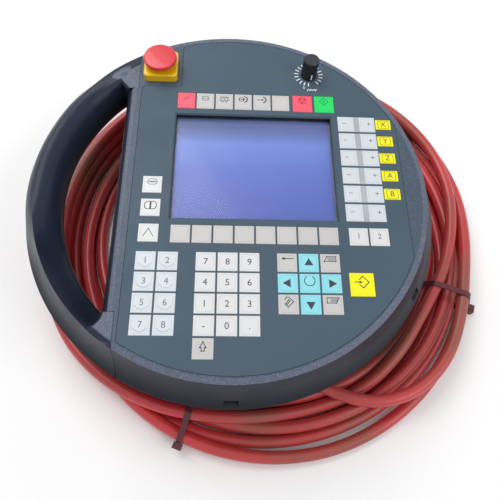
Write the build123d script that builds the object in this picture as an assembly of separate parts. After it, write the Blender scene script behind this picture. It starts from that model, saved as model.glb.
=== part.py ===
"""Handheld terminal: a round operating panel with an open grip, its keys, stop button, knob and coiled cable.

Millimetres. X runs to the right over the panel, Y up it, and Z from the resting surface to the operator.
The origin is on the resting surface, under the middle of the round housing.
"""
from build123d import *
from math import cos, pi, radians, sin, tan
import os

os.makedirs("parts", exist_ok=True)

# Heights of the housing
FACE_Z = 85.0  # operating face
CREST_DROP = 1.0  # the rim's crest below the face
RIM_WIDE_Z = 60.0  # where the rim is widest
SEAM_Z = 58.0  # parting line of the front and rear shells
DISH_Z = 48.0  # underside of the rim
HUMP_TOP_Z = 46.0  # where the hump leaves the dished back

# Plan of the housing
RIM_R = 156.5  # widest radius
CREST_R = 144.4  # crest between the face's bevel and the flared wall
BEVEL_R = 139.9  # inner edge of the bevel
SEAM_X = -76.7  # straight seam between the housing and the grip
BAR_X = -86.2  # hand side of the bar beside the opening
BAR_TOP_Y = 87.0
BAR_BOTTOM_Y = -98.0
BAR_ROUND = 8.5  # rounding of the bar's upper edge
BAR_UNDER_ROUND = 6.0
SEAM_GAP = 0.3  # visible joint between the grip and the housing
WALL = 3.0
SEAM_WALL = 5.0  # wall beside the seam, thick enough for the gasket
PLATE = 4.4  # thickness of the face plate

# Flared wall and rounded underside of the rim, as the middle control points of two curves
FLARE = ((150.8, 64.5), (147.0, 74.5))
UNDER = ((155.8, 51.5), (150.5, DISH_Z))
DISH_R = 143.0  # where the rounded underside runs out into the dished back
DISH_INNER_R = 104.0

# Hump on the back
HUMP_R = 92.0
HUMP_HALF_WIDTH = 84.0  # flat flanks, where the enabling buttons are
HUMP_DRAFT = 4.0
HUMP_WALL = 4.0
HUMP_FLOOR = 6.0
HUMP_EDGE = 4.0

# Face film, the keypad circuit under it and the keys in it
FILM = 1.8
CIRCUIT = 0.6
FILM_GAP = 0.3
FILM_R = 139.4
FILM_LEFT_X = -74.2
FILM_RIGHT_X = 127.5
FILM_NOTCH_X = -43.0  # the stop button's patch of bare housing
FILM_NOTCH_Y = 90.0
FILM_CORNER = 3.0
KEY = 13.8
PITCH = 15.0
KEY_GAP = 0.15
KEY_PROUD = 0.35
KEY_LIFT = 0.55  # from the keypad circuit to a key's underside
KEY_EDGE = 0.3

# Display
DISPLAY_X = 15.3
DISPLAY_Y = 17.1
DISPLAY_W = 121.4
DISPLAY_H = 91.2
DISPLAY_BEVEL = 1.0
PANE = 1.8
PANE_LAP = 3.0  # how far the pane reaches under the edge of the opening
PANE_REBATE = 1.0
PANEL_W = 119.6
PANEL_H = 90.6
PANEL_DEPTH = 4.6
MODULE_RIM = 5.8  # metal frame round the pane
MODULE_DEPTH = 9.8
FIT = 0.2  # clearance of pieces that drop into a pocket

# Emergency stop
STOP_X = -59.7
STOP_Y = 107.7
COLLAR = 26.5
COLLAR_HEIGHT = 6.5
COLLAR_CORNER = 3.2
COLLAR_EDGE = 0.8
COLLAR_WELL_R = 7.0
COLLAR_WELL = 4.5
BARREL_R = 8.0
BARREL_DROP = 8.2  # threaded barrel below the face
HEAD_R = 13.0
HEAD_TOP = 14.0  # above the face
HEAD_SIDE = 3.2
NECK_R = 6.0
STEM_R = 4.0
STEM_LENGTH = 34.0
STOP_TRAVEL = 3.5
CONTACT_W = 20.0
CONTACT_DEPTH = 25.6

# Override knob and its potentiometer
KNOB_X = 60.8
KNOB_Y = 106.1
KNOB_R = 6.3
KNOB_TOP = 17.6  # above the face
KNOB_LIFT = 0.6
KNOB_FLUTES = 12
KNOB_REST = -75.0  # direction of the pointer, in degrees from X
SHAFT_R = 3.0
SHAFT_FIT = 0.05
BUSH_R = 3.5
BUSH_TOP = 3.5  # above the face
POT_R = 8.0
POT_DEPTH = 9.6
NUT_ACROSS = 10.0
NUT_THICK = 2.0

# Enabling buttons on the hump's flanks
ENABLE_L = 50.0
ENABLE_H = 18.0
ENABLE_Z = 22.0
ENABLE_PROUD = 4.2  # beyond the vertical face of the recess
ENABLE_TRAVEL = 3.0
ENABLE_FLANGE = 2.0
ENABLE_FACE_X = 81.0  # vertical face cut into the drafted flank
ENABLE_RECESS = 3.0  # margin of that face round the button
ENABLE_PLUNGER_R = 3.0

# Connection cover in the underside of the hump
COVER_W = 92.0
COVER_H = 62.0
COVER = 2.6
COVER_SINK = 0.6
COVER_LEDGE = 8.0

# Screws
SCREW_CIRCLE = 137.0
SCREW_ANGLES = (20, 65, 110, -20, -65, -110)
SCREW_R = 2.0
SCREW_HEAD_R = 3.5
SCREW_HEAD = 3.0
SCREW_FIT = 0.1
BOSS_R = 5.0
GRIP_SCREW_PLACES = ((94.0, 66.0), (94.0, 54.3), (-108.0, 66.0), (-108.0, 54.3))  # Y and Z
GRIP_SCREW_LENGTH = 12.0
COVER_SCREW_R = 1.5

# Main board
BOARD_W = 156.0
BOARD_H = 96.0
BOARD = 1.6
BOARD_Z = 66.0  # the side that faces the display
BOARD_INSET = 4.0
BOARD_SCREW_R = 1.2

# Rim windows
WINDOW_W = 10.0
WINDOW_H = 4.0
WINDOW_DEPTH = 2.5
WINDOW_Z = 63.5
WINDOW_ANGLES = (-90, -30, 30, 90)

# Cable
CABLE_D = 9.4
OUTLET = Vector(-52.0, -68.0, 26.0)  # a point on the outlet's axis, inside the hump
OUTLET_HEADING = -30.0
OUTLET_BOSS_R = 13.0
OUTLET_BOSS_START = 10.0
OUTLET_BOSS_END = 68.0
GLAND_HEX = 22.0
GLAND_HEX_LENGTH = 7.0
GLAND_LENGTH = 20.0
GLAND_THREAD_R = 9.0
SLEEVE_LENGTH = 26.0
SLEEVE_R = 8.2
COIL_X = 28.0
COIL_Y = -5.0
COIL_IN_R = 130.0
COIL_OUT_R = 185.0
COIL_LAYERS = 18.9
COIL_TOP = 28.5
COIL_TOP_IN_R = 154.0
COIL_TOP_OUT_R = 180.0
TAIL_SLOT_R = 141.0
LEAD_END_ANGLE = -15.0
LEAD_END_R = 170.0
LEAD_END_Z = 24.2
TOP_END_ANGLE = 225.0
TAIL_SLOT_ANGLE = 60.0
TIE_ANGLES = (-111.0, -20.0)
TIE_WIDTH = 4.8
TIE = 1.2
TIE_FIT = 0.15
PLUG_R = 13.0
PLUG_LENGTH = 62.0
RING_R = 14.0
RING_LENGTH = 18.0

# Gasket groove, inset from the outline of the housing
GASKET_OUT = 2.0
GASKET_IN = 3.6
GASKET_DEPTH = 1.4

# Cross-sections of the grip, as radius and height. Each has five curves: outer wall, top, inner edge,
# inner side and underside, each the three control points that follow the point before it.
GRIP_START = (RIM_R, RIM_WIDE_Z)
GRIP_INNER_R = 130.0
GRIP_UNDER = ((145.0, DISH_Z - 0.4), (155.5, 50.0), GRIP_START)
GRIP_FLAT = (
    *FLARE, (CREST_R, FACE_Z - CREST_DROP),
    (141.5, FACE_Z - 0.3), (138.0, FACE_Z), (134.0, FACE_Z),
    (131.4, FACE_Z), (GRIP_INNER_R, 82.6), (GRIP_INNER_R, 77.0),
    (129.6, 66.0), (129.6, 50.0), (137.0, DISH_Z + 0.3),
    *GRIP_UNDER,
)
GRIP_TUBE = (
    (155.5, 68.0), (151.5, 80.0), (144.0, 83.6),
    (141.8, 84.4), (138.4, 83.6), (135.4, 81.0),
    (132.4, 78.4), (129.9, 73.8), (GRIP_INNER_R - 0.7, 67.0),
    (128.6, 58.0), (129.6, 50.0), (137.0, DISH_Z + 0.3),
    *GRIP_UNDER,
)
GRIP_SCOOP = (
    *FLARE, (CREST_R, FACE_Z - 0.8),
    (143.2, 81.4), (142.0, 77.5), (140.0, 73.6),
    (138.0, 69.6), (135.3, 65.8), (GRIP_INNER_R + 1.0, 63.0),
    (128.6, 61.0), (129.0, 50.5), (137.0, DISH_Z + 0.3),
    *GRIP_UNDER,
)
# Where each form holds, in degrees round the housing; between them one form passes into the next
GRIP_FORMS = (
    (108, GRIP_FLAT), (131, GRIP_FLAT), (148, GRIP_TUBE), (181, GRIP_TUBE),
    (207, GRIP_SCOOP), (230, GRIP_SCOOP), (238, GRIP_FLAT), (252, GRIP_FLAT),
)
GRIP_STATIONS = (108, 119, 131, 136, 142, 148, 156, 165, 173, 181, 187, 193, 200, 207, 218, 230, 234,
                 238, 252)
GRIP_END_EDGE = 3.0
GRIP_END_INSET = 0.4  # the ends stay this far inside the ring's skin
GRIP_END_DROP = 0.2

# Levels that follow from the sizes above
CREST_Z = FACE_Z - CREST_DROP
PLATE_Z = FACE_Z - PLATE
FILM_Z = FACE_Z - FILM
RECESS_Z = FILM_Z - CIRCUIT
PANE_TOP_Z = PLATE_Z + PANE_REBATE
PANE_Z = PANE_TOP_Z - PANE
CABLE_R = CABLE_D / 2


def save(name, *shapes):
    """Writes one node; several shapes stay separate solids."""
    shape = shapes[0] if len(shapes) == 1 else Compound(children=list(shapes))
    export_step(shape, f"parts/{name}.step")


def block(x0, x1, y0, y1, z0, z1):
    """A box between two corners."""
    return Pos((x0 + x1) / 2, (y0 + y1) / 2, (z0 + z1) / 2) * Box(x1 - x0, y1 - y0, z1 - z0)


def plate(x, y, width, height, z0, z1):
    """A box centred on x and y."""
    return block(x - width / 2, x + width / 2, y - height / 2, y + height / 2, z0, z1)


def rod(x, y, r, z0, z1):
    """An upright cylinder."""
    return Pos(x, y, (z0 + z1) / 2) * Cylinder(r, z1 - z0)


def spoke(r, angle):
    """A point at a radius and an angle round the housing."""
    return r * cos(radians(angle)), r * sin(radians(angle))


def profile(*edges):
    """A closed face of radius and height, upright on the X axis."""
    return Plane.XZ * make_face(list(edges))


def turned(*edges):
    """The profile turned round the housing's axis."""
    return revolve(profile(*edges), Axis.Z)


def turned_polygon(*points):
    """A turned form with straight sides."""
    return turned(Polyline(*points, close=True))


def hexagon(x, y, across, z0, z1):
    """A hexagonal nut or head."""
    sketch = Pos(x, y, z0) * RegularPolygon(across / 2, 6, major_radius=False)
    return extrude(sketch, z1 - z0)


def right_of(x):
    """Everything to the right of a seam, as a cutting block."""
    return block(x, RIM_R + 1, -RIM_R - 1, RIM_R + 1, -1, FACE_Z + 1)


def body_outline(inset):
    """Plan of the main housing at the parting line: a disc cut at the seam, and the bar beside the opening."""
    reach = RIM_R + 1
    half = Pos((SEAM_X + inset + reach) / 2, 0) * Rectangle(reach - SEAM_X - inset, 2 * reach)
    bar_width = SEAM_X - BAR_X + inset
    bar_height = BAR_TOP_Y - BAR_BOTTOM_Y - 2 * inset
    bar = Pos(BAR_X + inset + bar_width / 2, (BAR_TOP_Y + BAR_BOTTOM_Y) / 2)
    return Circle(RIM_R - inset) & (half + bar * Rectangle(bar_width, bar_height))


def bar(z0, z1, rounding, upper):
    """The rounded bar beside the hand opening, upper or lower half."""
    solid = block(BAR_X, SEAM_X + 1, BAR_BOTTOM_Y, BAR_TOP_Y, z0, z1)
    outer = solid.edges().filter_by(Axis.Y).group_by(Axis.X)[0].sort_by(Axis.Z)
    return fillet(outer[-1 if upper else 0], rounding)


def bar_pocket(z0, z1):
    """The hollow of the bar, open to the housing's cavity."""
    return block(
        BAR_X + SEAM_WALL, SEAM_X + SEAM_WALL + 1,
        BAR_BOTTOM_Y + SEAM_WALL, BAR_TOP_Y - SEAM_WALL, z0, z1,
    )


def film_outline(gap):
    """Plan of the face film: a disc cut at both sides and notched round the stop button."""
    radius = FILM_R - gap
    left = FILM_LEFT_X + gap
    right = FILM_RIGHT_X - gap
    notch_x = FILM_NOTCH_X + gap
    notch_y = FILM_NOTCH_Y - gap
    span = Pos((left + right) / 2, 0) * Rectangle(right - left, 2 * radius)
    notch = Pos(notch_x - radius / 2, notch_y + radius / 2) * Rectangle(radius, radius)
    sketch = (Circle(radius) & span) - notch
    corners = [v for v in sketch.vertices() if v.X < notch_x + 1 and v.Y > notch_y - 1]
    return fillet(corners, FILM_CORNER)


def key_cells():
    """Every key field: name of its node, centre and size."""
    cells = []
    mode_names = ("reset", "cancel", "jog_mode", "teach_mode", "auto_mode", "panel", "stop", "start")
    mode_x = (-38.2, -23.2, -8.2, 6.8, 21.8, 36.8, 54.3, 71.7)
    for name, x in zip(mode_names, mode_x):
        wide = name in ("stop", "start")
        cells.append((f"{name}_key", x, 75.8, 15.8 if wide else KEY, 16.2 if wide else 15.2))
    cursor_names = (
        ("backspace", "up", "page_up"), ("left", "select", "right"), ("insert", "down", "page_down"),
    )
    for row, names in enumerate(cursor_names):
        for column, name in enumerate(names):
            cells.append((f"{name}_key", 37.3 + PITCH * column, -62.0 - PITCH * row, KEY, KEY))
    cells.append(("input_key", 88.3, -77.4, 17.0, 17.0))
    for k in range(8):
        cells.append(("soft_keys", DISPLAY_X + PITCH * (k - 3.5), -41.3, KEY, KEY))
    for row in range(4):
        for column in range(2):
            cells.append(("user_keys", -59.7 + PITCH * column, -62.0 - PITCH * row, KEY, KEY))
        for column in range(3):
            cells.append(("number_keys", -18.7 + PITCH * column, -62.0 - PITCH * row, KEY, KEY))
    cells.append(("number_keys", -18.7, -62.0 - PITCH * 4, KEY, KEY))
    for row in range(6):
        cells.append(("jog_keys", 96.3, 57.0 - 15.8 * row, 29.6, 14.2))
    for row in range(5):
        cells.append(("axis_labels", 117.8, 57.4 - 15.8 * row, 12.2, 9.2))
    for y in (-1.9, -20.9, -40.9):
        cells.append(("service_keys", -59.4, y, 14.0, 14.0))
    for x in (89.3, 104.3):
        cells.append(("spindle_keys", x, -41.3, KEY, KEY))
    return cells


def key_pad(x, y, width, height):
    """One key: a flat pad with a small chamfer round its top."""
    pad = plate(x, y, width, height, FILM_Z + KEY_LIFT, FACE_Z + KEY_PROUD)
    return chamfer(pad.faces().sort_by(Axis.Z)[-1].edges(), KEY_EDGE)


def display_hole(grow, z0, z1):
    """A cut of the display opening's size, grown all round."""
    return plate(DISPLAY_X, DISPLAY_Y, DISPLAY_W + 2 * grow, DISPLAY_H + 2 * grow, z0, z1)


def board_corners():
    """Where the main board is screwed down."""
    across = BOARD_W / 2 - BOARD_INSET
    along = BOARD_H / 2 - BOARD_INSET
    return [(DISPLAY_X + i * across, DISPLAY_Y + j * along) for i in (-1, 1) for j in (-1, 1)]


def cover_corners():
    """Where the connection cover is screwed down."""
    across = (COVER_W - COVER_LEDGE) / 2
    along = (COVER_H - COVER_LEDGE) / 2
    return [(i * across, j * along) for i in (-1, 1) for j in (-1, 1)]


def along_outlet(distance):
    """A plane across the cable outlet's axis, facing the way the cable leaves."""
    heading = Vector(cos(radians(OUTLET_HEADING)), sin(radians(OUTLET_HEADING)), 0)
    return Plane(OUTLET + heading * distance, x_dir=(0, 0, 1), z_dir=heading)


def outlet_rod(r, start, stop):
    """A cylinder along the cable outlet's axis."""
    return extrude(along_outlet(start) * Circle(r), stop - start)


def hump_outline(inset):
    """Plan of the hump at its top: a disc with two flat flanks."""
    return Circle(HUMP_R - inset) & Rectangle(2 * (HUMP_HALF_WIDTH - inset), 2 * HUMP_R)


def hump(inset, floor):
    """The hump down to a floor, tapered as it was drawn from its mould."""
    height = HUMP_TOP_Z - floor
    return extrude(Pos(0, 0, HUMP_TOP_Z) * hump_outline(inset), -height, taper=HUMP_DRAFT)


def front_form():
    """The round outer form above the parting line: flared wall, crest, bevel and face."""
    return turned(
        Polyline((0, SEAM_Z), (RIM_R, SEAM_Z), (RIM_R, RIM_WIDE_Z)),
        Bezier((RIM_R, RIM_WIDE_Z), *FLARE, (CREST_R, CREST_Z)),
        Polyline((CREST_R, CREST_Z), (BEVEL_R, FACE_Z), (0, FACE_Z), (0, SEAM_Z)),
    )


def rear_form():
    """The round outer form below the parting line: rounded rim and dished back."""
    return turned(
        Line((0, SEAM_Z), (RIM_R, SEAM_Z)),
        Bezier((RIM_R, SEAM_Z), *UNDER, (DISH_R, DISH_Z)),
        Polyline((DISH_R, DISH_Z), (DISH_INNER_R, HUMP_TOP_Z), (0, HUMP_TOP_Z), (0, SEAM_Z)),
    )


def front_housing():
    cavity = turned_polygon(
        (0, SEAM_Z - 1), (RIM_R - SEAM_WALL, SEAM_Z - 1), (RIM_R - SEAM_WALL, SEAM_Z),
        (CREST_R - WALL, PLATE_Z), (0, PLATE_Z),
    )
    shell = (front_form() & right_of(SEAM_X)) + bar(SEAM_Z, FACE_Z, BAR_ROUND, True)
    shell -= cavity & right_of(SEAM_X + SEAM_WALL)
    shell -= bar_pocket(SEAM_Z - 1, FACE_Z - BAR_ROUND - WALL)
    shell -= extrude(Pos(0, 0, RECESS_Z) * film_outline(0), FILM + CIRCUIT + 1)
    shell -= display_hole(0, PLATE_Z - 1, FACE_Z + 1)
    shell -= display_hole(PANE_LAP + FIT, PLATE_Z - 1, PANE_TOP_Z)
    shell -= rod(STOP_X, STOP_Y, BARREL_R + FIT, PLATE_Z - 1, FACE_Z + 1)
    shell -= rod(KNOB_X, KNOB_Y, BUSH_R + SHAFT_FIT, PLATE_Z - 1, FACE_Z + 1)
    for angle in SCREW_ANGLES:
        x, y = spoke(SCREW_CIRCLE, angle)
        shell += rod(x, y, BOSS_R, SEAM_Z, PLATE_Z)
        shell -= rod(x, y, SCREW_R + SCREW_FIT, SEAM_Z - 1, PLATE_Z - WALL)
    for x, y in board_corners():
        shell += rod(x, y, BOARD_INSET - FIT, BOARD_Z, PLATE_Z)
        shell -= rod(x, y, BOARD_SCREW_R + SCREW_FIT, BOARD_Z - 1, PLATE_Z - WALL)
    for angle in WINDOW_ANGLES:
        window = block(RIM_R - 6 - WINDOW_DEPTH, RIM_R + 1, -WINDOW_W / 2, WINDOW_W / 2,
                       WINDOW_Z - WINDOW_H / 2, WINDOW_Z + WINDOW_H / 2)
        shell -= Rot(0, 0, angle) * window
    for y, z in GRIP_SCREW_PLACES:
        shell -= grip_screw_rod(y, z, SCREW_R + SCREW_FIT, SEAM_X - 1, SEAM_X + SEAM_WALL + 1)
    return shell


def grip_screw_rod(y, z, r, x0, x1):
    """A cylinder along X, at a place of the grip's screws."""
    return Pos((x0 + x1) / 2, y, z) * Rot(0, 90, 0) * Cylinder(r, x1 - x0)


def rear_housing():
    cavity = turned_polygon(
        (0, SEAM_Z + 1), (RIM_R - SEAM_WALL, SEAM_Z + 1), (RIM_R - SEAM_WALL, SEAM_Z),
        (DISH_R, DISH_Z + WALL), (DISH_INNER_R, HUMP_TOP_Z + WALL), (0, HUMP_TOP_Z + WALL),
    )
    foot = hump(0, 0)
    foot = fillet(foot.faces().sort_by(Axis.Z)[0].edges(), HUMP_EDGE)
    shell = (rear_form() & right_of(SEAM_X)) + bar(HUMP_TOP_Z, SEAM_Z, BAR_UNDER_ROUND, False) + foot
    shell += outlet_rod(OUTLET_BOSS_R, OUTLET_BOSS_START, OUTLET_BOSS_END)
    shell -= cavity & right_of(SEAM_X + SEAM_WALL)
    shell -= bar_pocket(HUMP_TOP_Z + BAR_UNDER_ROUND, SEAM_Z + 1)
    shell -= hump(HUMP_WALL, HUMP_FLOOR) + extrude(
        Pos(0, 0, HUMP_TOP_Z) * hump_outline(HUMP_WALL), WALL)
    groove = body_outline(GASKET_OUT) - body_outline(GASKET_IN)
    shell -= extrude(Pos(0, 0, SEAM_Z - GASKET_DEPTH) * groove, GASKET_DEPTH + 1)
    for y, z in GRIP_SCREW_PLACES:
        shell -= grip_screw_rod(y, z, SCREW_R + SCREW_FIT, SEAM_X - 1, SEAM_X + SEAM_WALL + 1)
    for angle in SCREW_ANGLES:
        x, y = spoke(SCREW_CIRCLE, angle)
        shell += rod(x, y, BOSS_R, DISH_Z + 1, SEAM_Z)
        shell -= rod(x, y, SCREW_R + SCREW_FIT, DISH_Z - 2, SEAM_Z + 1)
        shell -= rod(x, y, SCREW_HEAD_R + FIT, DISH_Z - 3, DISH_Z + SCREW_HEAD + 1)
    for side in (-1, 1):
        shell -= Rot(0, 0, 0 if side > 0 else 180) * enabling_recess()
    ledge_w = COVER_W - 2 * COVER_LEDGE
    ledge_h = COVER_H - 2 * COVER_LEDGE
    shell -= plate(0, 0, COVER_W + FIT, COVER_H + FIT, -1, COVER + COVER_SINK)
    shell -= plate(0, 0, ledge_w, ledge_h, -1, HUMP_FLOOR + 1)
    for x, y in cover_corners():
        shell += rod(x, y, BOARD_INSET, COVER + COVER_SINK, HUMP_FLOOR + 2 * WALL)
        shell -= rod(x, y, COVER_SCREW_R + SCREW_FIT, 0, HUMP_FLOOR + WALL)
    shell -= outlet_rod(GLAND_THREAD_R + FIT, OUTLET_BOSS_START - 1, OUTLET_BOSS_END + 1)
    return shell


def enabling_recess():
    """The vertical face cut into a flank, and the hole for the button through it."""
    margin = ENABLE_RECESS
    face = block(ENABLE_FACE_X, HUMP_R, -ENABLE_L / 2 - margin, ENABLE_L / 2 + margin,
                 ENABLE_Z - ENABLE_H / 2 - margin, ENABLE_Z + ENABLE_H / 2 + margin)
    hole = block(ENABLE_FACE_X - 12, HUMP_R, -ENABLE_L / 2 - FIT, ENABLE_L / 2 + FIT,
                 ENABLE_Z - ENABLE_H / 2 - FIT, ENABLE_Z + ENABLE_H / 2 + FIT)
    return face + hole


def gasket():
    band = body_outline(GASKET_OUT + FIT / 2) - body_outline(GASKET_IN - FIT / 2)
    return extrude(Pos(0, 0, SEAM_Z - GASKET_DEPTH) * band, GASKET_DEPTH)


def grip_points(angle):
    """The control points of the grip's section at an angle."""
    for (a0, form0), (a1, form1) in zip(GRIP_FORMS, GRIP_FORMS[1:]):
        if a0 <= angle <= a1:
            t = (angle - a0) / (a1 - a0)
            t = t * t * (3 - 2 * t)
            return [(p[0] + (q[0] - p[0]) * t, p[1] + (q[1] - p[1]) * t) for p, q in zip(form0, form1)]


def grip_section(angle):
    """The grip's cross-section as a face, in the upright plane at an angle."""
    points = [GRIP_START, *grip_points(angle)]
    curves = [Bezier(*points[k:k + 4]) for k in range(0, 15, 3)]
    c, s = cos(radians(angle)), sin(radians(angle))
    return Plane((0, 0, 0), x_dir=(c, s, 0), z_dir=(s, -c, 0)) * make_face(curves)


def grip_end(outline):
    """The flat end that joins the ring to the seam, with a rounded edge towards the opening."""
    low = DISH_Z + 1
    side = CREST_R - GRIP_END_INSET
    top = FACE_Z - GRIP_END_DROP
    skin = turned_polygon((0, low), (side, low), (side, top - CREST_DROP), (BEVEL_R, top), (0, top))
    end = extrude(Pos(0, 0, DISH_Z) * make_face(outline), FACE_Z) & skin
    inner = [e for e in end.edges() if e.center().Z > top - 0.1 and e.center().X < BAR_X - 0.5]
    return fillet(inner, GRIP_END_EDGE)


def grip():
    """The whole C-shaped grip, before it is parted into halves."""
    ring = loft([grip_section(angle) for angle in GRIP_STATIONS])
    inside = SEAM_X + 1
    upper = [Polyline((inside, BAR_TOP_Y), (BAR_X, BAR_TOP_Y), (BAR_X - 9, 98.0), (inside, 113.0), close=True)]
    low_corner = (BAR_X + SEAM_GAP, BAR_BOTTOM_Y)
    low_tip = (-96.0, -108.0)
    lower = [
        ThreePointArc(low_corner, (-89.2, -105.0), low_tip),
        Polyline(low_tip, (-101.0, -112.0), (inside, -130.0), (inside, BAR_BOTTOM_Y), low_corner),
    ]
    whole = ring + grip_end(upper) + grip_end(lower)
    whole -= right_of(SEAM_X - SEAM_GAP)
    whole -= block(BAR_X - SEAM_GAP, SEAM_X, BAR_BOTTOM_Y - SEAM_GAP, BAR_TOP_Y + SEAM_GAP, 0, FACE_Z + 1)
    for y, z in GRIP_SCREW_PLACES:
        whole -= grip_screw_rod(y, z, SCREW_R, SEAM_X - GRIP_SCREW_LENGTH, SEAM_X)
    return whole


def grip_half(whole, z0, z1):
    return whole & block(-RIM_R - 1, SEAM_X, -RIM_R - 1, RIM_R + 1, z0, z1)


def membrane_overlay(cells):
    film = extrude(Pos(0, 0, FILM_Z) * film_outline(FILM_GAP), FILM)
    opening = display_hole(0, FILM_Z - 1, FACE_Z + 1)
    film -= opening
    rim = [e for e in film.faces().sort_by(Axis.Z)[-1].inner_wires()[0].edges()]
    film = chamfer(rim, DISPLAY_BEVEL)
    holes = [plate(x, y, w + 2 * KEY_GAP, h + 2 * KEY_GAP, FILM_Z - 1, FACE_Z + 1) for _, x, y, w, h in cells]
    holes.append(rod(KNOB_X, KNOB_Y, KNOB_R, FILM_Z - 1, FACE_Z + 1))
    return film - holes


def keypad_circuit():
    sheet = extrude(Pos(0, 0, RECESS_Z) * film_outline(FILM_GAP), CIRCUIT)
    return sheet - display_hole(PANE_LAP, RECESS_Z - 1, FILM_Z + 1) - rod(
        KNOB_X, KNOB_Y, KNOB_R, RECESS_Z - 1, FILM_Z + 1)


def display_window():
    return display_hole(PANE_LAP, PANE_Z, PANE_TOP_Z)


def lcd_module():
    frame = display_hole(PANE_LAP + MODULE_RIM, PLATE_Z - MODULE_DEPTH, PLATE_Z)
    frame -= display_hole(PANE_LAP + FIT, PANE_Z, PLATE_Z + 1)
    frame -= plate(DISPLAY_X, DISPLAY_Y, PANEL_W + FIT, PANEL_H + FIT, PANE_Z - PANEL_DEPTH, PANE_Z + 1)
    return frame


def lcd_panel():
    return plate(DISPLAY_X, DISPLAY_Y, PANEL_W, PANEL_H, PANE_Z - PANEL_DEPTH, PANE_Z - FIT)


def main_board():
    """Board with its larger components on the side away from the display."""
    under = BOARD_Z - BOARD
    board = plate(DISPLAY_X, DISPLAY_Y, BOARD_W, BOARD_H, under, BOARD_Z)
    for x, y, w, h, t in ((-10, 14, 28, 28, 3), (30, 16, 22, 14, 2.4), (30, -6, 22, 14, 2.4),
                          (-46, 2, 10, 52, 7), (56, 4, 12, 40, 9), (4, -30, 60, 8, 6)):
        board += plate(DISPLAY_X + x, DISPLAY_Y + y, w, h, under - t, under)
    for x, y in board_corners():
        board -= rod(x, y, BOARD_SCREW_R + FIT, under - 1, BOARD_Z + 1)
    return board


def screw(x, y, r, head_r, head, z_head, length):
    """An upright screw: its head's underside is at z_head, its shank goes up from there."""
    body = rod(x, y, r, z_head - head / 2, z_head + length) + rod(x, y, head_r, z_head - head, z_head)
    return body - hexagon(x, y, head_r, z_head - head - 1, z_head - head / 2)


def housing_screws():
    seat = DISH_Z + SCREW_HEAD + 1
    return [screw(*spoke(SCREW_CIRCLE, angle), SCREW_R, SCREW_HEAD_R, SCREW_HEAD, seat, 24)
            for angle in SCREW_ANGLES]


def board_screws():
    return [screw(x, y, BOARD_SCREW_R, 2 * BOARD_SCREW_R, 2, BOARD_Z - BOARD, 9)
            for x, y in board_corners()]


def cover_screws():
    head = 1.6
    return [screw(x, y, COVER_SCREW_R, 2 * COVER_SCREW_R, head, COVER_SINK + head, 6.4)
            for x, y in cover_corners()]


def connection_cover():
    lid = plate(0, 0, COVER_W - FIT, COVER_H - FIT, COVER_SINK, COVER_SINK + COVER)
    lid = fillet(lid.edges().filter_by(Axis.Z), 2 * WALL)
    for x, y in cover_corners():
        lid -= rod(x, y, COVER_SCREW_R + FIT, 0, 5)
        lid -= rod(x, y, 2 * COVER_SCREW_R + FIT, 0, COVER_SINK + 1.6)
    return lid


def grip_screws():
    """Screws through the housing's side wall into the grip, their heads inside the housing."""
    seat = SEAM_X + SEAM_WALL
    return [grip_screw_rod(y, z, SCREW_R, SEAM_X - GRIP_SCREW_LENGTH + 1, seat)
            + grip_screw_rod(y, z, SCREW_HEAD_R, seat, seat + SCREW_HEAD)
            for y, z in GRIP_SCREW_PLACES]


def estop_collar():
    """Square collar with its threaded barrel through the face plate."""
    top = FACE_Z + COLLAR_HEIGHT
    collar = plate(STOP_X, STOP_Y, COLLAR, COLLAR, FACE_Z, top)
    collar = fillet(collar.edges().filter_by(Axis.Z), COLLAR_CORNER)
    collar = chamfer(collar.faces().sort_by(Axis.Z)[-1].edges(), COLLAR_EDGE)
    collar += rod(STOP_X, STOP_Y, BARREL_R, FACE_Z - BARREL_DROP, FACE_Z)
    collar -= rod(STOP_X, STOP_Y, COLLAR_WELL_R, top - COLLAR_WELL, top + 1)
    return collar - rod(STOP_X, STOP_Y, STEM_R + FIT, 0, top)


def estop_mushroom():
    """Red head: a flat dome, a short side, a hollow underside and a neck that takes the stem."""
    top = FACE_Z + HEAD_TOP
    low = top - HEAD_SIDE
    neck = low - 2
    bore = STEM_R + SHAFT_FIT
    head = turned(
        Polyline((0, top - 1.5), (bore, top - 1.5), (bore, neck), (NECK_R, neck), (NECK_R, low + 0.6),
                 (HEAD_R - 1.2, low), (HEAD_R, low + 0.5), (HEAD_R, top - 1.6)),
        ThreePointArc((HEAD_R, top - 1.6), (HEAD_R - 0.45, top - 0.75), (HEAD_R - 1.4, top - 0.4)),
        ThreePointArc((HEAD_R - 1.4, top - 0.4), (HEAD_R / 2, top - 0.08), (2, top)),
        Polyline((2, top), (0, top), (0, top - 1.5)),
    )
    return Pos(STOP_X, STOP_Y, 0) * head


def estop_stem():
    """Plunger between the mushroom and the contacts, with a catch ring at its foot."""
    top = FACE_Z + HEAD_TOP - 1.6
    foot = top - STEM_LENGTH
    return rod(STOP_X, STOP_Y, STEM_R, foot, top)


def estop_contact_block():
    """Contact block under the face plate, bored for the stem and its travel."""
    low = PLATE_Z - CONTACT_DEPTH
    body = plate(STOP_X, STOP_Y, CONTACT_W, CONTACT_W, low, PLATE_Z)
    body -= rod(STOP_X, STOP_Y, BARREL_R + FIT, FACE_Z - BARREL_DROP - FIT, PLATE_Z + 1)
    body -= rod(STOP_X, STOP_Y, STEM_R + FIT, low + 1.5, PLATE_Z)
    for side in (-1, 1):
        body += plate(STOP_X + side * 6, STOP_Y, 5, CONTACT_W - 6, low - 3, low)
    return body


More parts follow.
